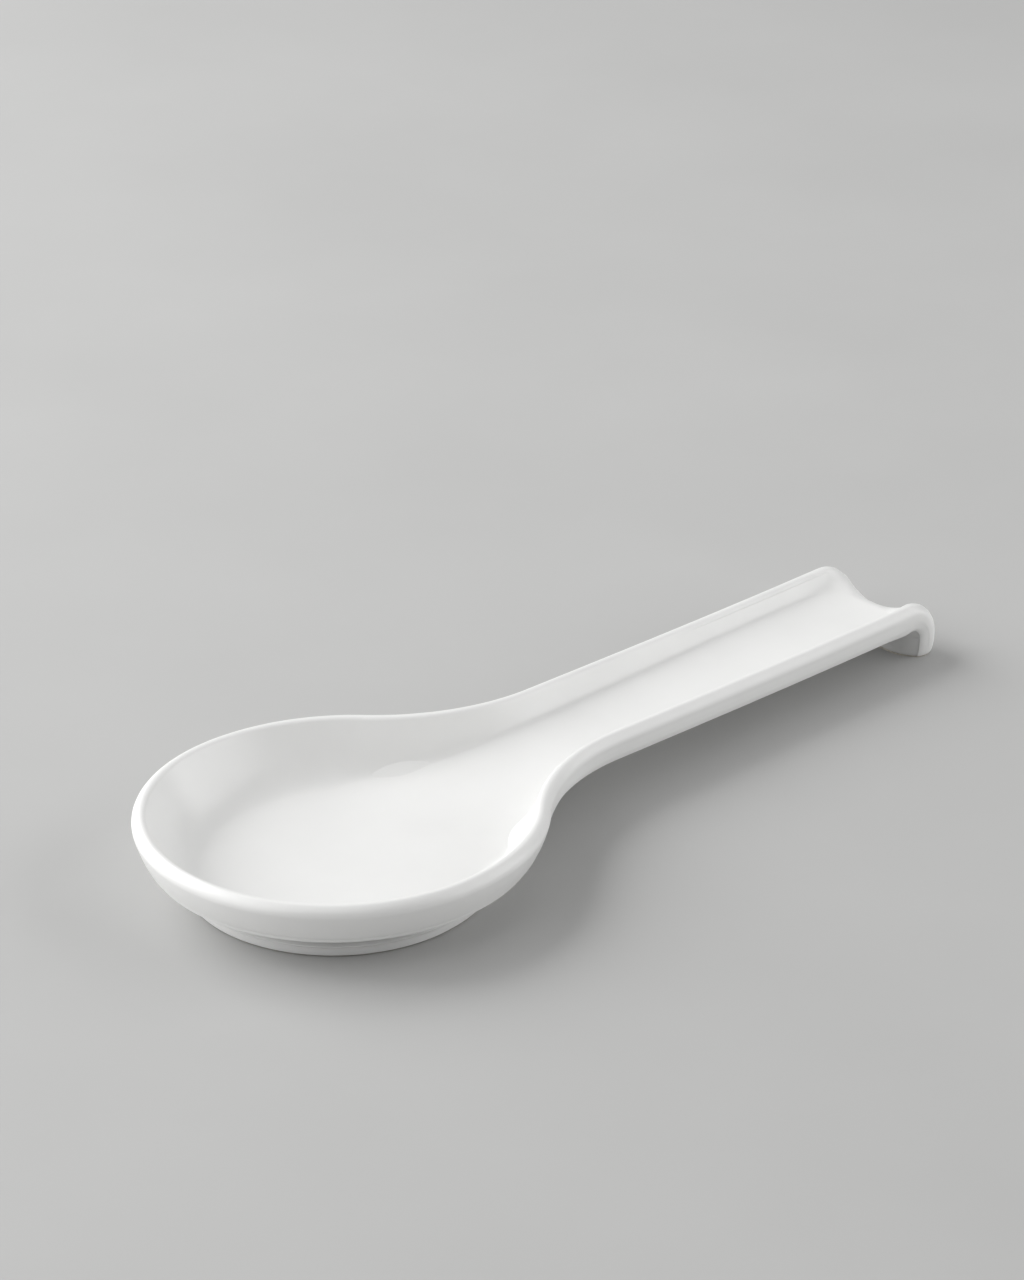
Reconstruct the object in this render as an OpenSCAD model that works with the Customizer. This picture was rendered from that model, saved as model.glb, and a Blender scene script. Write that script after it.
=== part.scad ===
// Spoon rest: a shallow bowl with a channelled handle and a turned-down end, made as one fired piece.
// X runs along the handle, Y across it and Z up. The origin is on the table, under the middle of its length.

/* [Bowl] */
// Radius of the round front of the bowl, over the rim
bowl_r = 57; // [48:1:70]
// Reach of the oval back of the bowl, from the middle of the bowl
bowl_back = 62; // [58:1:80]
// Height of the bowl's rim above the table
bowl_rim_h = 23.2; // [21:0.2:30]
// Height of the bowl's inside floor above the table
bowl_floor_h = 6.6; // [5.6:0.2:9]
// Height of the bowl's underside above the table, where the foot is
bowl_under_h = 3.8; // [3.6:0.2:5]
// Lean of the bowl's inner wall from upright, in degrees
bowl_lean = 31; // [15:1:40]
// Size of the soft fillet between the bowl's wall and floor
bowl_cove = 9; // [3:0.5:12]
// Depth of the crease under the bowl's outer wall, below the rim
bowl_crease_depth = 11.2; // [9:0.2:13]
// Distance that the bowl's outer wall leans in, from the rim to the crease
bowl_crease_in = 3; // [1.6:0.2:6]
// Size of the rounding where the bowl's sloping underside turns level
bowl_belly = 0.8; // [0.6:0.2:4]

/* [Neck] */
// Radius of the hollow curve on each side, where the bowl meets the handle
neck_r = 66; // [50:1:100]
// Distance from the middle of the bowl to where the floor starts to climb
ramp_start = 34; // [25:1:45]
// Distance from the middle of the bowl to where the floor reaches the handle
ramp_end = 90; // [75:1:110]
// Distance from the middle of the bowl to where the underside reaches the handle's
under_end = 76; // [66:1:110]

/* [Handle] */
// Width of the handle over the rim, beside the back of the bowl
handle_w_neck = 41.4; // [32:0.2:46]
// Width of the handle over the rim, at its end
handle_w_end = 41.8; // [34:0.2:50]
// Distance from the middle of the bowl to the outside of the end foot
handle_reach = 227.8; // [190:0.2:260]
// Height of the handle's rim above the table
handle_rim_h = 18.7; // [17.5:0.1:24]
// Depth of the channel along its middle, below the rim
channel_depth = 6.1; // [5:0.1:8]
// Rise of the channel's floor from its middle to its sides
channel_crown = 1.3; // [0:0.1:1.8]
// Lean of the channel's side walls from upright, in degrees
channel_lean = 18; // [8:1:30]
// Size of the fillet between the channel's walls and floor
channel_cove = 5.4; // [1:0.2:6]
// Thickness of the handle under the middle of the channel
handle_t = 4.2; // [3.8:0.1:6.5]
// Depth of the crease under the handle's outer wall, below the rim
handle_crease_depth = 7.2; // [6:0.2:9]
// Distance that the handle's outer wall leans in, from the rim to the crease
handle_crease_in = 0.4; // [0.2:0.1:2]
// Distance that the soft groove lies inside the handle's rim
handle_groove_in = 0.1; // [0:0.1:0.4]
// Size of the rounding where the handle's sloping underside turns level
handle_belly = 2; // [1:0.5:5]

/* [Rim] */
// Radius of the rounded top of the rim
rim_r = 1.7; // [1.2:0.1:1.8]
// Distance from the outside of the rim to the middle of its rounded top
rim_in = 2.7; // [2.2:0.1:3.2]
// Depth at which the slanted outside of the rim has turned upright
rim_side = 2.9; // [2.8:0.1:3.4]
// Depth of the soft groove below the rim
groove_depth = 3.9; // [3.8:0.1:5]
// Distance that the groove lies inside the bowl's rim
groove_in = 0.2; // [0.1:0.1:0.6]
// Depth of the fine line that is cut under the outer wall
line_in = 0.6; // [0.2:0.1:1]
// Height of that fine line
line_h = 0.8; // [0.3:0.1:1]
// Height of the rounded edge below that fine line
edge_h = 0.8; // [0.5:0.1:1.6]

/* [End foot] */
// Radius of the turn from the handle's rim down to the end foot
turn_r = 12.1; // [9:0.1:13]
// Distance before the turn over which the channel opens out
flare_lead = 10; // [6:1:20]
// Thickness of the end foot at its middle
end_foot_t = 6; // [4.8:0.2:7]
// Depth of the channel where it has turned down, behind the foot's corners
end_channel_depth = 4.6; // [4:0.2:6]
// Lean of the channel's sides away from the foot's outside, in degrees
end_lean = 64; // [40:1:70]
// Size of the fillet between the channel's sides and floor, on the end foot
end_cove = 6.8; // [3:0.2:8]
// Radius of the rounded corners where the rim runs down the end foot
end_rim_r = 3.4; // [2.6:0.2:3.6]
// Radius of the inside corner between the handle's underside and the end foot
inside_r = 2; // [1.4:0.2:4]
// Depth of the side edge of the end foot, from its outside
end_crease_depth = 4.6; // [4.4:0.2:6.8]
// Distance that this edge lies inside the handle's side
end_crease_in = 0.1; // [0.1:0.1:0.8]
// Height of the rounded edge between the foot's side and its inside
end_edge_h = 2.2; // [0.2:0.1:3.2]
// Size of the rounding from that edge to the inside of the end foot
end_belly = 6; // [2:0.5:7]
// Height of the rounding along the foot's lower edge
toe_r = 6; // [2.5:0.2:8]
// Share of the end foot's thickness that is left flat on the table
toe_flat_share = 0.3; // [0.2:0.05:0.6]

/* [Feet] */
// Distance of the bowl's foot inside the rim
foot_inset = 14.6; // [12:0.2:18]
// Width of the ring that the bowl stands on
foot_ring_w = 5; // [3.5:0.5:8]
// Depth of the recess inside the foot ring
foot_recess = 2; // [1:0.2:2.6]
// Height of the unglazed strip along both feet
bare_h = 0.4; // [0.3:0.1:1.2]

/* [Hidden] */
glaze = [0.93, 0.93, 0.92];
bare_clay = [0.83, 0.79, 0.72];

// Counts of sections along the outline, and of points round a section
front_n = 18;
back_n = 10;
neck_n = 18;
side_n = 5;
flare_n = 4;
turn_n = 10;
toe_n = 5;
top_n = 6;
slant_n = 4;
// Places of points across the channel side and the underside, as shares of the way to the middle line
upper_shares = [0.78, 0.6, 0.47, 0.38, 0.31, 0.25, 0.2, 0.16, 0.12, 0.085, 0.055, 0.03, 0.012];
lower_shares = [0, 0.014, 0.03, 0.055, 0.085, 0.12, 0.16, 0.2, 0.25, 0.31, 0.38, 0.47, 0.6, 0.78];
// Angle round the rim's top, from the inside, at which it turns into the slanted outside
top_end = 120;
// Slopes of the underside, from the rounded edge inward
bowl_belly_slope = 0.6;
handle_belly_slope = 0.5;
end_belly_slope = 1;
// Groove and fine line that are left on the end foot, as a share of those along the rim
end_line_share = 0.05;
// How far the rounded edge draws in, as a share of its height
edge_in_share = 0.25;
// Bulge of the outer wall between groove and crease, as a share of its height
bulge_share = 0.02;
// Where the rim starts and stops falling, as shares of the bowl's radius and of the handle's reach
fall_start_share = -0.78;
fall_end_share = 0.94;
// Where sections start and stop changing from bowl to handle,
// as shares of the bowl's radius and of the neck's reach
neck_start_share = 0.58;
neck_end_share = 0.6;
// How far the lower edge of the end foot is drawn towards its inside, as a share of its thickness
toe_in_share = 1.1;
// Thickness of glaze that is wiped off along the feet
glaze_t = 0.6;

mid_x = (handle_reach - bowl_r) / 2;
turn_x = handle_reach - turn_r;
turn_z = handle_rim_h - turn_r;
inside_x = handle_reach - end_channel_depth - end_foot_t;
inside_z = handle_rim_h - channel_depth - handle_t;
toe_top = min(toe_r, min(turn_z, inside_z - inside_r) - line_h / 2);
lead_x = min(turn_x, inside_x - inside_r) - rim_r / 2;
end_x = lead_x - flare_lead;
floor_half = handle_w_end / 2 - rim_in - rim_r;

function mix(a, b, t) = a + (b - a) * t;
function ease(a, b, x) = let (t = min(max((x - a) / (b - a), 0), 1)) t * t * (3 - 2 * t);
function bent(a, b, c, t) = mix(mix(a, b, t), mix(b, c, t), t);
function soft_max(a, b, k) = let (h = max(k - abs(a - b), 0) / k) max(a, b) + h * h * k / 4;
function reversed(v) = [for (i = [len(v) - 1:-1:0]) v[i]];
function handle_half(x) = mix(handle_w_neck, handle_w_end, (x - bowl_back) / (handle_reach - bowl_back)) / 2;

// The oval back of the bowl, its outward direction, and the angle where the neck's curve leaves it
function oval(a) = [bowl_back * cos(a), bowl_r * sin(a)];
function oval_out(a) = let (v = [cos(a) / bowl_back, sin(a) / bowl_r]) v / norm(v);
function neck_gap(a) = let (c = oval(a) + neck_r * oval_out(a)) c.y - neck_r - handle_half(c.x);
function neck_angle(low, high, n) =
    let (a = (low + high) / 2)
    n == 0 ? a : neck_gap(a) > 0 ? neck_angle(low, a, n - 1) : neck_angle(a, high, n - 1);
neck_a = neck_angle(0, 90, 30);
neck_c = oval(neck_a) + neck_r * oval_out(neck_a);
neck_turn = atan2(-oval_out(neck_a).y, -oval_out(neck_a).x);

// A station is a point on the rim's outline, the direction inward from it, and the way to the middle line
function station(p, d) = [p, d, -p.y / d.y];
front = [for (i = [0:front_n])
    let (a = 180 - 90 * i / front_n, d = -[cos(a), sin(a)])
    [-bowl_r * d, d, bowl_r]];
back = [for (i = [1:back_n]) let (a = mix(90, neck_a, i / back_n)) station(oval(a), -oval_out(a))];
neck = [for (i = [1:neck_n])
    let (a = mix(neck_turn, -90, i / neck_n), d = [cos(a), sin(a)])
    station(neck_c + neck_r * d, d)];
function side_station(x) = station([x, handle_half(x)], [0, -1]);
side = [for (i = [1:side_n]) side_station(mix(neck_c.x, end_x, i / side_n))];

// Heights above the table of the rim, the inside floor and the underside
function rim_h(x) =
    mix(bowl_rim_h, handle_rim_h, ease(fall_start_share * bowl_r, fall_end_share * handle_reach, x));
function floor_h(x, y) =
    let (t = ease(ramp_start, ramp_end, x), s = min(abs(y) / floor_half, 1))
    mix(bowl_floor_h, handle_rim_h - channel_depth, t) + channel_crown * t * s * s;
function under_h(x) = mix(bowl_under_h, inside_z, ease(bowl_back - foot_inset, under_end, x));

// Form of a section: wall lean, fillet, crease inset and depth, slope and rounding of the underside,
// and the rim's top radius, its inset and its side depth
bowl_form = [
    bowl_lean, bowl_cove, bowl_crease_in, bowl_crease_depth, bowl_belly_slope, bowl_belly,
    rim_r, rim_in, rim_side];
handle_form = [
    channel_lean, channel_cove, handle_crease_in, handle_crease_depth, handle_belly_slope, handle_belly,
    rim_r, rim_in, rim_side];
end_form = [
    end_lean, end_cove, end_crease_in, end_crease_depth, end_belly_slope, end_belly,
    end_rim_r, end_rim_r, end_rim_r];
// Lines along a section's outside: inset and depth of the groove, depth and height of the fine line,
// and height of the rounded edge
bowl_lines = [groove_in, groove_depth, line_in, line_h, edge_h];
handle_lines = [handle_groove_in, groove_depth, line_in, line_h, edge_h];
end_lines = [
    handle_groove_in * end_line_share, end_rim_r + line_h,
    line_in * end_line_share, line_h * end_line_share, end_edge_h];

// Outside of a section as inset and depth, from the inside of the rim's top to the rounded edge
function outside(z) =
    let (top = [for (i = [0:top_n])
            let (a = mix(z[0], top_end, i / top_n)) [z[7] + z[6] * cos(a), z[6] * (1 - sin(a))]],
        edge = top[top_n], shoulder = [0, edge.y + edge.x * tan(top_end - 90)],
        slant = [for (i = [1:slant_n]) bent(edge, shoulder, [0, z[8]], i / slant_n)],
        groove = [z[9], z[10]], crease = [z[2], z[3]], ledge = crease + [z[11], z[12]],
        bulge = [groove.y - crease.y, crease.x - groove.x] * bulge_share)
    concat(top, slant, [
        groove, mix(groove, crease, 1 / 3) + bulge, mix(groove, crease, 2 / 3) + bulge,
        crease, crease + [z[11], z[12] / 2], ledge, ledge + [z[13] * edge_in_share / 4, z[13] / 2]]);

// Half of a section, from the middle of the floor over the rim to the middle of the underside
function section(st, z, floor_lift = 0, under_lift = 0) =
    let (rim = rim_h(st[0].x), edge = outside(z), inner = edge[0],
        low = [z[2] + z[11] + z[13] * edge_in_share, z[3] + z[12] + z[13]])
    concat(
        [for (q = concat([1], upper_shares))
            let (u = q == 1 ? st[2] : mix(inner.x, st[2], q), p = st[0] + u * st[1],
                wall = rim - inner.y - (u - inner.x) / tan(z[0]))
            [p.x, q == 1 ? 0 : p.y, soft_max(wall, floor_h(p.x, p.y) + floor_lift, z[1])]],
        [for (q = edge) let (p = st[0] + q.x * st[1]) [p.x, p.y, rim - q.y]],
        [for (q = concat(lower_shares, [1]))
            let (u = q == 1 ? st[2] : mix(low.x, st[2], q), p = st[0] + u * st[1],
                wall = rim - low.y - (u - low.x) * z[4])
            [p.x, q == 1 ? 0 : p.y, soft_max(wall, under_h(p.x) + under_lift, z[5])]]);
function bowl_section(st) =
    let (t = ease(neck_start_share * bowl_r, neck_end_share * neck_c.x, st[0].x))
    section(st, concat(mix(bowl_form, handle_form, t), mix(bowl_lines, handle_lines, t)));
// The channel opens out from the end of the handle to the end of the turn, x being the way along the rim
function flare(x) = ease(end_x, turn_x + turn_r * PI / 2, x);
function flared(x, f) =
    let (rise = (channel_depth - end_channel_depth) * f,
        lines = mix(handle_lines, end_lines, ease(end_x, turn_x, x)))
    section(side_station(x), concat(mix(handle_form, end_form, f), lines),
        rise, rise + (handle_t - end_foot_t) * f);

// The flared section carried round the turn: outer path c with direction d, inner path e at full depth
function turned(c, d, e, f) =
    let (deep = mix(channel_depth + handle_t, end_channel_depth + end_foot_t, f), near = deep / 2)
    [for (p = flared(turn_x, f))
        let (depth = handle_rim_h - p.z, rest = max(depth - near, 0) / (deep - near),
            r = mix(c - min(depth, near) * d, e, rest))
        [r.x, p.y, r.y]];
function turn_section(t) =
    let (d = [sin(90 * t), cos(90 * t)])
    turned([turn_x, turn_z] + turn_r * d, d, [inside_x, inside_z] + inside_r * (d - [1, 1]),
        flare(turn_x + turn_r * t * PI / 2));
// The end foot's section at height z, rounded in towards its lower edge
function toe_section(z) =
    let (c = mix(toe_flat_share, 1, sqrt(1 - pow(1 - min(z / toe_top, 1), 2))),
        sec = turned([handle_reach, z], [1, 0], [inside_x, z], 1), n = len(sec))
    [for (i = [0:n - 1])
        let (a = sec[i], b = sec[n - 1 - i], core = mix(a, b, i < n / 2 ? toe_in_share : 1 - toe_in_share),
            p = mix(core, a, c), w = p.y / handle_half(turn_x))
        [p.x, p.y - (1 - c) * rim_r * w * w * w, z]];

// Flat face over half a section of m points, in strips from each point of the top to the one below it
function cap(m) =
    [for (j = [0:ceil(m / 2) - 2])
        each concat([[j, j + 1, m - 1 - j]], j + 1 < m - 2 - j ? [[j + 1, m - 2 - j, m - 1 - j]] : [])];

// Solid through a row of half sections and their mirror images, with a flat face over each open end
module shell(rows, open_start) {
    m = len(rows[0]);
    n = len(rows) * m;
    half = [for (row = rows) each row];
    mirrored = [for (p = half) [p.x, p.y == 0 ? 0 : -p.y, p.z]];
    walls = [for (i = [0:len(rows) - 2], j = [0:m - 2])
        let (a = i * m + j, b = a + m) each [[a, a + 1, b + 1], [a, b + 1, b]]];
    last = [for (f = cap(m)) [for (k = f) n - m + k]];
    first = open_start ? [for (f = cap(m)) reversed(f)] : [];
    faces = concat(walls, last, first);
    polyhedron(concat(half, mirrored), concat(faces, [for (f = faces) [for (k = reversed(f)) k + n]]));
}

// Oval outline of the bowl's foot, at a distance inside the rim
module foot_outline(inset) {
    polygon(concat(
        [for (i = [0:2 * front_n]) let (a = 90 + 90 * i / front_n) (bowl_r - inset) * [cos(a), sin(a)]],
        [for (i = [1:2 * front_n - 1]) let (a = -90 + 90 * i / front_n) oval(a) - inset * oval_out(a)]));
}

// Bowl and neck: sections fan out round the middle of the bowl and follow the rim to the handle
module bowl() {
    color(glaze) translate([-mid_x, 0, 0])
        shell([for (st = concat(front, back, neck)) bowl_section(st)], false);
}

// Channelled handle, from the neck to just before the turn
module handle() {
    color(glaze) translate([-mid_x, 0, 0])
        shell([for (st = concat([neck[neck_n - 1]], side)) bowl_section(st)], true);
}

// End of the handle, turned down to stand on the table
module end_foot() {
    color(glaze) translate([-mid_x, 0, 0])
        shell(concat(
            [for (i = [0:flare_n]) let (x = mix(end_x, lead_x, i / flare_n)) flared(x, flare(x))],
            [for (i = [0:turn_n]) turn_section(i / turn_n)],
            [for (i = [0:toe_n]) toe_section(mix(toe_top, bare_h, i / toe_n))]), true);
}

// Unglazed lower edge of the end foot
module end_foot_edge() {
    color(bare_clay) translate([-mid_x, 0, 0])
        shell([for (i = [0:toe_n]) toe_section(mix(bare_h, 0, i / toe_n))], true);
}

// Foot under the bowl, recessed in its middle
module bowl_foot() {
    color(glaze) translate([-mid_x, 0, 0]) difference() {
        translate([0, 0, bare_h]) linear_extrude(bowl_under_h - bare_h) foot_outline(foot_inset);
        linear_extrude(foot_recess) foot_outline(foot_inset + foot_ring_w);
    }
}

// Unglazed ring that the bowl stands on
module bowl_foot_edge() {
    color(bare_clay) translate([-mid_x, 0, 0]) linear_extrude(bare_h) difference() {
        foot_outline(foot_inset + glaze_t);
        foot_outline(foot_inset + foot_ring_w - glaze_t);
    }
}

bowl();
handle();
end_foot();
bowl_foot();
bowl_foot_edge();
end_foot_edge();
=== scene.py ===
"""Spoon rest of white glazed ceramic: one fired body with unglazed edges under its two feet."""

import math
from collections import namedtuple

import bmesh
import bpy
import numpy as np
from mathutils import Matrix


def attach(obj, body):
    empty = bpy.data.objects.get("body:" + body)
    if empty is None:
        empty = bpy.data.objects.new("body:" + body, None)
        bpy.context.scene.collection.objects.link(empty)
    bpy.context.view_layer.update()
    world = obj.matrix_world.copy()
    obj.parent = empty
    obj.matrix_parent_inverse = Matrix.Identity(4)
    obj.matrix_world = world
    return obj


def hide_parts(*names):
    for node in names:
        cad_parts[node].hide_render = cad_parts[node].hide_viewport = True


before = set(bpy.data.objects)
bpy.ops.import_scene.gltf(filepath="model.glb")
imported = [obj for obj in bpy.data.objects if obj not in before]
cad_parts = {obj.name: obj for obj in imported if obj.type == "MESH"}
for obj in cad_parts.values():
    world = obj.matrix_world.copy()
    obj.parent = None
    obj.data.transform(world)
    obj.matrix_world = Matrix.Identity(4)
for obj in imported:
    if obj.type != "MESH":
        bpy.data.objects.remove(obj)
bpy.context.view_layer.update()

MM_PER_M = 1000

# Bowl in millimetres: radius in front, reach at the back, and heights of its rim, floor and underside
BOWL_R = 57.0
BOWL_BACK = 62.0
BOWL_RIM = 23.2
BOWL_FLOOR = 6.6
BOWL_UNDER = 3.5

# Neck: radius of its outline, where the floor starts and stops rising, and where the underside stops rising
NECK_R = 66.0
RAMP = (34.0, 90.0)
UNDER_END = 76.0

# Handle: width at the bowl and at the end, reach from the bowl's middle, height of its rim,
# depth of its channel, rise of the channel's floor towards the sides, and thickness
HANDLE_W = (41.4, 41.8)
REACH = 227.8
HANDLE_RIM = 18.7
CHANNEL = 6.1
CROWN = 1.3
HANDLE_T = 4.2

# Rim: radius of its top, inset of that radius' middle, depth of its rounded side,
# and the angle where the top goes over into the side
RIM_R = 1.7
RIM_IN = 2.7
RIM_SIDE = 2.9
TOP_END = 120

# Inset and depth of the groove below the rim, and depth and height of the fine line below the wall
GROOVE = (0.2, 3.9)
LINE = (0.9, 0.8)

# End foot: radius of the turn, length over which the handle opens out before it,
# thickness, depth of the channel and rounding inside the turn
TURN_R = 12.1
FLARE_LEAD = 10.0
END_T = 6.0
END_CHANNEL = 4.6
INSIDE_R = 2.0

# Toe of the end foot: height of its rounding, share of the thickness that stays at the table,
# how far the rounding draws the outside in, as a share of the thickness, and how fast it rounds the corners
TOE_R = 6.0
TOE_FLAT_SHARE = 0.3
TOE_IN_SHARE = 1.1
TOE_CORNER_POWER = 3

# Foot under the bowl: inset from the rim, width of its ring, recess in its middle,
# height of the bare ring and thickness of the glaze around it
FOOT_INSET = 14.2
RING_W = 5.0
RECESS = 2.0
BARE_H = 0.4
GLAZE_T = 0.6

# Small roundings of that foot: fillet and lip under the belly, how far its top reaches into the bowl,
# the glaze's outer and inner lower edges, the recess' corner and flat border, and the bare ring's edges
BELLY_FILLET = 1.0
BELLY_LIP = 0.1
FOOT_SUNK = 0.5
GLAZE_ROUND = 0.3
GLAZE_INNER = (0.1, 0.2)
RECESS_R = 0.5
RECESS_BORDER = 2.0
RING_ROUND = 0.3

# Steps along the outline: bowl in front and at the back, neck, handle, flare, turn, end foot, toe, bare edge
FRONT_STEPS = 90
BACK_STEPS = 40
NECK_STEPS = 90
HANDLE_STEPS = 50
FLARE_STEPS = 20
TURN_STEPS = 40
DROP_STEPS = 8
TOE_STEPS = 12
EDGE_STEPS = 6

# Points and steps across a section: rim's top, slant beside it, each small corner and each part of the wall
TOP_POINTS = 21
SLANT_POINTS = 13
CORNER_POINTS = 7
WALL_STEPS = 5

# Point of the slant from which the wall's curve takes its direction, and how far the wall swells
SLANT_GUIDE = -4
SWELL_SHARE = 0.02

# Points round the foot under the bowl and in its roundings
OVAL_POINTS = 240
FILLET_POINTS = 7
ROUND_POINTS = 5

# Points across the channel side and the underside, as shares of the way to the middle line
ACROSS_STEPS = 36
ACROSS_POWER = 1.8
ACROSS = np.linspace(0, 1, ACROSS_STEPS + 1)[1:] ** ACROSS_POWER

# Where the rim starts and stops falling from the bowl's height to the handle's
FALL = (-0.78 * BOWL_R, 0.94 * REACH)

# Where the bowl's section starts and stops changing to the handle's, as shares of the bowl's radius
# and of the distance to the neck's middle
CHANGE_SHARES = (0.58, 0.6)

# Halvings in the search for the start of the neck, and the distance in metres under which points merge
NECK_HALVINGS = 50
MERGE_DISTANCE = 1e-7

MID_X = (REACH - BOWL_R) / 2
TURN_X = REACH - TURN_R
TURN_Z = HANDLE_RIM - TURN_R
INSIDE_X = REACH - END_CHANNEL - END_T
INSIDE_Z = HANDLE_RIM - CHANNEL - HANDLE_T
TOE_TOP = min(TOE_R, min(TURN_Z, INSIDE_Z - INSIDE_R) - LINE[1] / 2)
LEAD_X = min(TURN_X, INSIDE_X - INSIDE_R) - RIM_R / 2
END_X = LEAD_X - FLARE_LEAD
FLOOR_HALF = HANDLE_W[1] / 2 - RIM_IN - RIM_R

# Sizes of a section: lean of the inner wall in degrees and its fillet to the floor, inset and depth of the
# crease below the outer wall, slope and fillet of the underside, the rim's top radius, inset and side depth,
# then those of the groove, the fine line and the rounded edge below it
Sizes = namedtuple("Sizes", [
    "lean", "fillet", "crease_in", "crease_depth", "slope", "under_fillet", "rim_r", "rim_in", "rim_side",
    "groove_in", "groove_depth", "line_in", "line_h", "edge_h",
])
FORM_COUNT = Sizes._fields.index("groove_in")
FINE_COUNT = len(Sizes._fields) - FORM_COUNT

BOWL_SIZES = Sizes(
    lean=31, fillet=9, crease_in=3.0, crease_depth=11.0, slope=0.6, under_fillet=0.8,
    rim_r=RIM_R, rim_in=RIM_IN, rim_side=RIM_SIDE,
    groove_in=GROOVE[0], groove_depth=GROOVE[1], line_in=LINE[0], line_h=LINE[1], edge_h=0.8,
)
HANDLE_SIZES = Sizes(
    lean=18, fillet=5.4, crease_in=0.4, crease_depth=7.2, slope=0.5, under_fillet=2,
    rim_r=RIM_R, rim_in=RIM_IN, rim_side=RIM_SIDE,
    groove_in=0.1, groove_depth=GROOVE[1], line_in=LINE[0], line_h=LINE[1], edge_h=0.8,
)
END_SIZES = Sizes(
    lean=64, fillet=6.8, crease_in=0.1, crease_depth=4.6, slope=1.0, under_fillet=6,
    rim_r=3.4, rim_in=3.4, rim_side=3.4,
    groove_in=0.005, groove_depth=4.2, line_in=0.03, line_h=0.04, edge_h=2.2,
)


def mix(a, b, t):
    return a + (b - a) * t


def mix_sizes(a, b, t):
    return Sizes(*mix(np.array(a), np.array(b), t))


def span(a, b, n):
    """The values that lead from a to b in n even steps."""
    return [mix(a, b, i / n) for i in range(n + 1)]


def ease(a, b, x):
    t = np.clip((x - a) / (b - a), 0, 1)
    return t * t * (3 - 2 * t)


def soft_max(a, b, k):
    h = np.maximum(k - np.abs(a - b), 0) / k
    return np.maximum(a, b) + h * h * k / 4


def handle_half(x):
    return mix(HANDLE_W[0], HANDLE_W[1], (x - BOWL_BACK) / (REACH - BOWL_BACK)) / 2


def rim_height(x):
    return mix(BOWL_RIM, HANDLE_RIM, ease(*FALL, x))


def floor_height(x, y):
    t = ease(*RAMP, x)
    s = np.minimum(np.abs(y) / FLOOR_HALF, 1)
    return mix(BOWL_FLOOR, HANDLE_RIM - CHANNEL, t) + CROWN * t * s * s


def under_height(x):
    return mix(BOWL_UNDER, INSIDE_Z, ease(BOWL_BACK - FOOT_INSET, UNDER_END, x))


def oval(a):
    return np.array([BOWL_BACK * math.cos(a), BOWL_R * math.sin(a)])


def oval_out(a):
    v = np.array([math.cos(a) / BOWL_BACK, math.sin(a) / BOWL_R])
    return v / np.linalg.norm(v)


def neck_start():
    """Angle on the oval back of the bowl where the neck's curve leaves it."""
    low, high = 0.0, math.pi / 2
    for _ in range(NECK_HALVINGS):
        a = (low + high) / 2
        c = oval(a) + NECK_R * oval_out(a)
        if c[1] - NECK_R - handle_half(c[0]) > 0:
            high = a
        else:
            low = a
    return a


NECK_A = neck_start()
NECK_C = oval(NECK_A) + NECK_R * oval_out(NECK_A)


def station(p, d):
    """A point of the rim's outline, the direction inward from it and the way to the middle line."""
    return np.array(p, float), np.array(d, float), -p[1] / d[1]


def side_station(x):
    return station((x, handle_half(x)), (0, -1))


def bezier(a, b, c, n):
    t = np.linspace(0, 1, n)[:, None]
    return (1 - t) ** 2 * a + 2 * t * (1 - t) * b + t * t * c


def spline(points, n):
    """Smooth curve through the points, n steps to each span."""
    p = np.vstack([2 * points[0] - points[1], points, 2 * points[-1] - points[-2]])
    t = np.linspace(0, 1, n + 1)[:-1, None]
    out = []
    for a, b, c, d in zip(p, p[1:], p[2:], p[3:]):
        square = 2 * a - 5 * b + 4 * c - d
        cube = 3 * b - a - 3 * c + d
        out.append(0.5 * (2 * b + (c - a) * t + square * t**2 + cube * t**3))
    return np.vstack(out + [points[-1:]])


def outer_profile(z):
    """Inset and depth from the rim, from the inside of its top to the rounded edge under the wall."""
    a = np.radians(np.linspace(z.lean, TOP_END, TOP_POINTS))
    top = np.stack([z.rim_in + z.rim_r * np.cos(a), z.rim_r * (1 - np.sin(a))], 1)
    edge = top[-1]
    side = np.array([0, z.rim_side])
    shoulder = np.array([0, edge[1] + edge[0] * math.tan(math.radians(TOP_END - 90))])
    slant = bezier(edge, shoulder, side, SLANT_POINTS)[1:]
    groove = np.array([z.groove_in, z.groove_depth])
    crease = np.array([z.crease_in, z.crease_depth])
    swell = np.array([groove[1] - crease[1], crease[0] - groove[0]]) * SWELL_SHARE
    wall = [groove, mix(groove, crease, 1 / 3) + swell, mix(groove, crease, 2 / 3) + swell, crease]
    wall = spline(np.array([slant[SLANT_GUIDE], side, *wall]), WALL_STEPS)[WALL_STEPS:]
    cut = crease + [z.line_in, z.line_h / 2]
    ledge = crease + [z.line_in, z.line_h]
    low = ledge + [z.edge_h / 4, z.edge_h]
    below = low + np.array([1, z.slope]) / math.hypot(1, z.slope) * z.edge_h / 2
    corner = bezier(wall[-2], crease, mix(crease, cut, 0.5), CORNER_POINTS)
    inside = bezier(mix(crease, cut, 0.5), cut, mix(cut, ledge, 0.5), CORNER_POINTS)[1:]
    lower = bezier(mix(cut, ledge, 0.5), ledge, mix(ledge, low, 0.5), CORNER_POINTS)[1:]
    under = bezier(mix(ledge, low, 0.5), low, below, CORNER_POINTS)[1:]
    return np.vstack([top, slant, wall[1:-2], corner, inside, lower, under])


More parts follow.
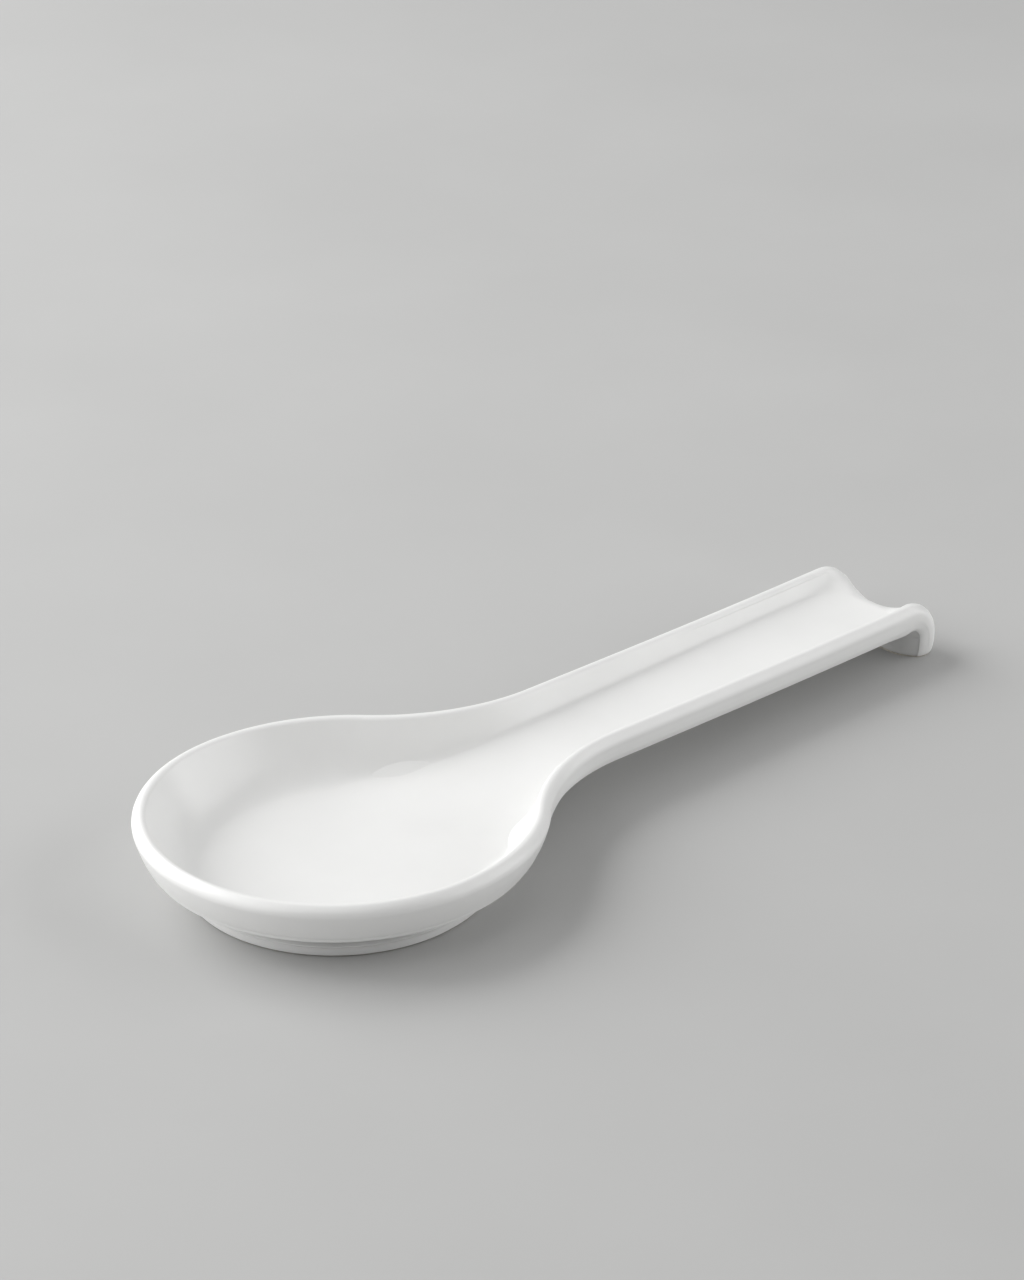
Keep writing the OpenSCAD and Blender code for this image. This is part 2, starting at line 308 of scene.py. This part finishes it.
def section(st, z, floor_lift=0.0, under_lift=0.0):
    """Half section from the middle of the floor over the rim to the middle of the underside."""
    p, d, reach = st
    rim = rim_height(p[0])
    edge = outer_profile(z)
    u = mix(edge[0, 0], reach, ACROSS[::-1])
    top = p + u[:, None] * d
    wall = rim - edge[0, 1] - (u - edge[0, 0]) / math.tan(math.radians(z.lean))
    top_z = soft_max(wall, floor_height(top[:, 0], top[:, 1]) + floor_lift, z.fillet)
    mid = p + edge[:, :1] * d
    u = mix(edge[-1, 0], reach, ACROSS)
    low = p + u[:, None] * d
    wall = rim - edge[-1, 1] - (u - edge[-1, 0]) * z.slope
    low_z = soft_max(wall, under_height(low[:, 0]) + under_lift, z.under_fillet)
    rows = np.vstack([
        np.column_stack([top, top_z]),
        np.column_stack([mid, rim - edge[:, 1]]),
        np.column_stack([low, low_z]),
    ])
    rows[[0, -1], 1] = 0
    return rows


def bowl_section(st):
    share = ease(CHANGE_SHARES[0] * BOWL_R, CHANGE_SHARES[1] * NECK_C[0], st[0][0])
    return section(st, mix_sizes(BOWL_SIZES, HANDLE_SIZES, share))


def flare(x):
    return ease(END_X, TURN_X + TURN_R * math.pi / 2, x)


def flared(x, f):
    """The handle's section where it opens out, a share f of the way to the end's."""
    rise = (CHANNEL - END_CHANNEL) * f
    share = np.repeat([f, ease(END_X, TURN_X, x)], [FORM_COUNT, FINE_COUNT])
    z = mix_sizes(HANDLE_SIZES, END_SIZES, share)
    return section(side_station(x), z, rise, rise + (HANDLE_T - END_T) * f)


def turned(c, d, e, f):
    """The flared section carried round the turn, on an outer path c with direction d and an inner path e."""
    deep = mix(CHANNEL + HANDLE_T, END_CHANNEL + END_T, f)
    near = deep / 2
    rows = flared(TURN_X, f)
    depth = HANDLE_RIM - rows[:, 2]
    rest = (np.maximum(depth - near, 0) / (deep - near))[:, None]
    q = np.array(c) - np.minimum(depth, near)[:, None] * np.array(d)
    r = mix(q, np.array(e), rest)
    return np.column_stack([r[:, 0], rows[:, 1], r[:, 1]])


def turn_section(t):
    """The section a share t of the way round the turn."""
    a = t * math.pi / 2
    d = np.array([math.sin(a), math.cos(a)])
    c = np.array([TURN_X, TURN_Z]) + TURN_R * d
    e = np.array([INSIDE_X, INSIDE_Z]) + INSIDE_R * (d - 1)
    return turned(c, d, e, flare(TURN_X + TURN_R * a))


def toe_section(z):
    """The end foot at height z, rounded in towards its lower edge."""
    c = mix(TOE_FLAT_SHARE, 1, math.sqrt(1 - (1 - min(z / TOE_TOP, 1)) ** 2))
    sec = turned((REACH, z), (1, 0), (INSIDE_X, z), 1)
    share = np.where(np.arange(len(sec)) < len(sec) / 2, TOE_IN_SHARE, 1 - TOE_IN_SHARE)[:, None]
    p = mix(mix(sec, sec[::-1], share), sec, c)
    w = p[:, 1] / handle_half(TURN_X)
    y = p[:, 1] - (1 - c) * RIM_R * w**TOE_CORNER_POWER
    return np.column_stack([p[:, 0], y, np.full(len(p), z)])


def shell(name, rows, closed_start):
    """Closed mesh through half sections and their mirror images, with a flat face over each open end."""
    m = len(rows[0])
    half = np.vstack(rows)
    n = len(half)
    faces = []
    for i in range(len(rows) - 1):
        for j in range(m - 1):
            a = i * m + j
            faces.append((a, a + 1, a + m + 1, a + m))
    for start in (n - m, 0) if closed_start else (n - m,):
        for j in range(m // 2):
            face = [start + j, start + j + 1, start + m - 2 - j, start + m - 1 - j]
            faces.append(tuple(dict.fromkeys(face)))
    faces = [f for f in faces if len(f) > 2]
    faces += [tuple(k + n for k in reversed(f)) for f in faces]
    return mesh_piece(name, np.vstack([half, half * [1, -1, 1]]), faces)


def lathe(name, rings, wrap):
    """Closed mesh through rings of the foot's oval.

    Each ring is an inset from the bowl's rim, a height, and 1, or 0 where it shrinks to the middle.
    """
    half = OVAL_POINTS // 2
    front = np.linspace(math.pi / 2, 3 * math.pi / 2, half, endpoint=False)
    back = np.linspace(-math.pi / 2, math.pi / 2, half, endpoint=False)
    rows = []
    for inset, height, share in rings:
        ring = [(BOWL_R - inset) * np.array([math.cos(a), math.sin(a)]) for a in front]
        ring += [oval(a) - inset * oval_out(a) for a in back]
        rows.append(np.column_stack([np.array(ring) * share, np.full(OVAL_POINTS, height)]))
    faces = []
    for i in range(len(rings) if wrap else len(rings) - 1):
        a = i * OVAL_POINTS
        b = (i + 1) % len(rings) * OVAL_POINTS
        for j in range(OVAL_POINTS):
            k = (j + 1) % OVAL_POINTS
            faces.append((a + j, a + k, b + k, b + j))
    return mesh_piece(name, np.vstack(rows), faces)


def arc(x, z, radius, start, end, n):
    """Rings of the lathe along an arc round an inset and height."""
    a = np.radians(np.linspace(start, end, n))
    return [(x + radius * math.cos(t), z + radius * math.sin(t), 1) for t in a]


def mesh_piece(name, points, faces):
    """Object from points in millimetres and faces, moved to the shared frame."""
    mesh = bpy.data.meshes.new(name)
    mesh.from_pydata(((points - [MID_X, 0, 0]) / MM_PER_M).tolist(), [], faces)
    work = bmesh.new()
    work.from_mesh(mesh)
    bmesh.ops.remove_doubles(work, verts=work.verts, dist=MERGE_DISTANCE)
    bmesh.ops.recalc_face_normals(work, faces=work.faces)
    for face in work.faces:
        face.smooth = True
    work.to_mesh(mesh)
    work.free()
    return linked(name, mesh)


def linked(name, data):
    """Object of the data, put into the scene."""
    thing = bpy.data.objects.new(name, data)
    bpy.context.scene.collection.objects.link(thing)
    return thing


def material(name, color, roughness):
    """A material with its shader, whose fixed values sit on the shader's own sockets."""
    mat = bpy.data.materials.new(name)
    mat.use_nodes = True
    shader = mat.node_tree.nodes["Principled BSDF"]
    shader.inputs["Base Color"].default_value = (*color, 1)
    shader.inputs["Roughness"].default_value = roughness
    return mat, shader


def noise(mat, scale, detail, rough=0.5):
    """Noise in the object's own coordinates, in metres."""
    nodes = mat.node_tree.nodes
    links = mat.node_tree.links
    where = nodes.new("ShaderNodeTexCoord")
    tex = nodes.new("ShaderNodeTexNoise")
    tex.inputs["Scale"].default_value = scale
    tex.inputs["Detail"].default_value = detail
    tex.inputs["Roughness"].default_value = rough
    links.new(where.outputs["Object"], tex.inputs["Vector"])
    return tex.outputs["Fac"]


def color_between(mat, shader, factor, *stops):
    """Colour the shader between two stops of place and colour, as the factor runs."""
    node = mat.node_tree.nodes.new("ShaderNodeValToRGB")
    for end, (place, color) in zip(node.color_ramp.elements, stops):
        end.position = place
        end.color = (*color, 1)
    mat.node_tree.links.new(factor, node.inputs["Fac"])
    mat.node_tree.links.new(node.outputs["Color"], shader.inputs["Base Color"])


def roughness_between(mat, shader, factor, low, high):
    """Vary the shader's roughness from low to high over the factor's middle range."""
    node = mat.node_tree.nodes.new("ShaderNodeMapRange")
    node.inputs["From Min"].default_value = 0.3
    node.inputs["From Max"].default_value = 0.7
    node.inputs["To Min"].default_value = low
    node.inputs["To Max"].default_value = high
    mat.node_tree.links.new(factor, node.inputs["Value"])
    mat.node_tree.links.new(node.outputs["Result"], shader.inputs["Roughness"])


def bump(mat, shader, height, strength, distance):
    node = mat.node_tree.nodes.new("ShaderNodeBump")
    node.inputs["Strength"].default_value = strength
    node.inputs["Distance"].default_value = distance
    mat.node_tree.links.new(height, node.inputs["Height"])
    mat.node_tree.links.new(node.outputs["Normal"], shader.inputs["Normal"])


def white_glaze():
    """Glossy white glaze, faintly uneven in tone and in thickness."""
    mat, shader = material("white_glaze", (0.855, 0.855, 0.845), 0.3)
    cloud = noise(mat, scale=38, detail=3)
    color_between(mat, shader, cloud, (0.35, (0.845, 0.845, 0.835)), (0.65, (0.865, 0.865, 0.855)))
    roughness_between(mat, shader, noise(mat, scale=90, detail=2), low=0.28, high=0.32)
    bump(mat, shader, noise(mat, scale=60, detail=1, rough=0.4), strength=0.1, distance=0.0002)
    return mat


def bare_clay():
    """Matt unglazed clay with a fine grain."""
    mat, shader = material("bare_clay", (0.62, 0.58, 0.51), 0.85)
    grain = noise(mat, scale=1500, detail=4)
    color_between(mat, shader, grain, (0.35, (0.56, 0.52, 0.45)), (0.65, (0.67, 0.63, 0.56)))
    roughness_between(mat, shader, noise(mat, scale=700, detail=2), low=0.78, high=0.9)
    bump(mat, shader, noise(mat, scale=2600, detail=3), strength=0.5, distance=0.0001)
    return mat


def place(piece, mat, slot, *nodes):
    """The piece rides with the object, stands for the nodes and takes the material; the slot is not used."""
    piece.data.materials.append(mat)
    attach(piece, "root")
    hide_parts(*nodes)


def glazed_body():
    """Bowl, neck, handle and end foot in one skin."""
    stations = []
    for a in span(math.pi, math.pi / 2, FRONT_STEPS):
        d = -np.array([math.cos(a), math.sin(a)])
        stations.append((-BOWL_R * d, d, BOWL_R))
    for a in span(math.pi / 2, NECK_A, BACK_STEPS)[1:]:
        stations.append(station(oval(a), -oval_out(a)))
    start = -oval_out(NECK_A)
    for a in span(math.atan2(start[1], start[0]), -math.pi / 2, NECK_STEPS)[1:]:
        d = np.array([math.cos(a), math.sin(a)])
        stations.append(station(NECK_C + NECK_R * d, d))
    for x in span(NECK_C[0], END_X, HANDLE_STEPS)[1:]:
        stations.append(side_station(x))
    rows = [bowl_section(st) for st in stations]
    rows += [flared(x, flare(x)) for x in span(END_X, LEAD_X, FLARE_STEPS)[1:]]
    rows += [turn_section(t) for t in span(0, 1, TURN_STEPS)]
    rows += [toe_section(z) for z in span(TURN_Z, TOE_TOP, DROP_STEPS)[1:]]
    rows += [toe_section(z) for z in span(TOE_TOP, BARE_H, TOE_STEPS)[1:]]
    return shell("glazed_body", rows, False)


def end_foot_edge():
    """Bare lower edge of the end foot."""
    return shell("end_foot_bare_edge", [toe_section(z) for z in span(BARE_H, 0, EDGE_STEPS)], True)


def bowl_foot():
    """Foot under the bowl, with a small fillet under the belly and a recess in its middle."""
    inner = FOOT_INSET + RING_W
    top = BOWL_UNDER + FOOT_SUNK
    fillet_in = FOOT_INSET - BELLY_FILLET
    return lathe("bowl_foot_glazed", [
        (FOOT_INSET, top, 0),
        (fillet_in - BELLY_LIP, top, 1),
        *arc(fillet_in, BOWL_UNDER - BELLY_FILLET, BELLY_FILLET, 90, 0, FILLET_POINTS),
        (FOOT_INSET, BARE_H + GLAZE_ROUND, 1),
        (FOOT_INSET + GLAZE_ROUND / 3, BARE_H + GLAZE_ROUND / 3, 1),
        (FOOT_INSET + GLAZE_ROUND, BARE_H, 1),
        (inner - GLAZE_INNER[0], BARE_H, 1),
        (inner, BARE_H + GLAZE_INNER[1], 1),
        (inner, RECESS - RECESS_R, 1),
        *arc(inner + RECESS_R, RECESS - RECESS_R, RECESS_R, 180, 90, ROUND_POINTS),
        (inner + RECESS_BORDER, RECESS, 1),
        (inner, RECESS, 0),
    ], False)


def bowl_foot_ring():
    """Bare ring that the bowl stands on, with rounded edges."""
    outer = FOOT_INSET + GLAZE_T
    inner = FOOT_INSET + RING_W - GLAZE_T
    return lathe("bowl_foot_bare_ring", [
        (outer, BARE_H, 1),
        *arc(outer + RING_ROUND, RING_ROUND, RING_ROUND, 180, 270, ROUND_POINTS),
        *arc(inner - RING_ROUND, RING_ROUND, RING_ROUND, 270, 360, ROUND_POINTS),
        (inner, BARE_H, 1),
    ], True)


glaze = white_glaze()
clay = bare_clay()
place(glazed_body(), glaze, "white_glaze", "bowl", "handle", "end_foot")
place(bowl_foot(), glaze, "white_glaze", "bowl_foot")
place(bowl_foot_ring(), clay, "bare_clay", "bowl_foot_edge")
place(end_foot_edge(), clay, "bare_clay", "end_foot_edge")

# Camera at the photograph's angle: turn and tilt, place to the right of, above and behind the object's
# middle in metres, focal length and sensor width in millimetres, and how far it sees in metres
TURN = math.radians(43.34)
TILT = math.radians(26.7)
EYE = (0.04871, 0.06695, 1.26008)
LENS = 126.56
SENSOR_W = 36
SIGHT = 20

right = np.array([math.cos(TURN), -math.sin(TURN), 0])
up = np.array([math.sin(TILT) * math.sin(TURN), math.sin(TILT) * math.cos(TURN), math.cos(TILT)])
behind = np.cross(right, up)


def pose(x, y, z, where):
    """Matrix of an object with these axes at a place."""
    return Matrix(np.vstack([np.column_stack([x, y, z, where]), [0, 0, 0, 1]]).tolist())


camera = linked("camera", bpy.data.cameras.new("camera"))
eye = EYE[0] * right + EYE[1] * up + EYE[2] * behind - [MID_X / MM_PER_M, 0, 0]
camera.matrix_world = pose(right, up, behind, eye)
camera.data.lens = LENS
camera.data.sensor_width = SENSOR_W
camera.data.clip_end = SIGHT
bpy.context.scene.camera = camera

# Soft square lamps: direction as right, away and up of the camera, and power in watts;
# their distance and width in metres, the world's even light, and the floor's reach to each side in metres
LAMPS = {
    "window": ((-0.769, 0.358, 0.53), 37.5),
    "left": ((-0.785, -0.366, 0.5), 17.5),
    "right": ((0.966, 0, 0.259), 24),
    "far": ((0.4545, 0.4545, 0.766), 4),
}
LAMP_DISTANCE = 1.8
LAMP_W = 1.8
WORLD_LIGHT = 0.19
FLOOR_REACH = 5


def lamp(name, toward, power):
    """Soft square lamp that shines on the object from a direction."""
    away = np.array([math.sin(TURN), math.cos(TURN), 0])
    d = toward[0] * right + toward[1] * away + toward[2] * np.array([0, 0, 1])
    d = d / np.linalg.norm(d)
    side = np.cross([0, 0, 1], d)
    side = side / np.linalg.norm(side)
    data = bpy.data.lights.new(name, "AREA")
    data.size = LAMP_W
    data.energy = power
    linked(name, data).matrix_world = pose(side, np.cross(d, side), d, d * LAMP_DISTANCE)


for lamp_name, (lamp_toward, lamp_power) in LAMPS.items():
    lamp(lamp_name, lamp_toward, lamp_power)

world = bpy.data.worlds.new("studio")
world.use_nodes = True
world.node_tree.nodes["Background"].inputs["Color"].default_value = (1, 1, 1, 1)
world.node_tree.nodes["Background"].inputs["Strength"].default_value = WORLD_LIGHT
bpy.context.scene.world = world

# Plain pale floor
floor_mat, floor_shader = material("floor", (0.48, 0.48, 0.475), 0.9)
floor_cloud = noise(floor_mat, scale=9, detail=5)
color_between(floor_mat, floor_shader, floor_cloud, (0.3, (0.47, 0.47, 0.465)), (0.7, (0.49, 0.49, 0.485)))
floor_mesh = bpy.data.meshes.new("floor")
corners = [(x * FLOOR_REACH, y * FLOOR_REACH, 0) for x, y in ((-1, -1), (1, -1), (1, 1), (-1, 1))]
floor_mesh.from_pydata(corners, [], [(0, 1, 2, 3)])
floor_mesh.materials.append(floor_mat)
floor = linked("floor", floor_mesh)

bpy.context.scene.view_settings.view_transform = "Standard"
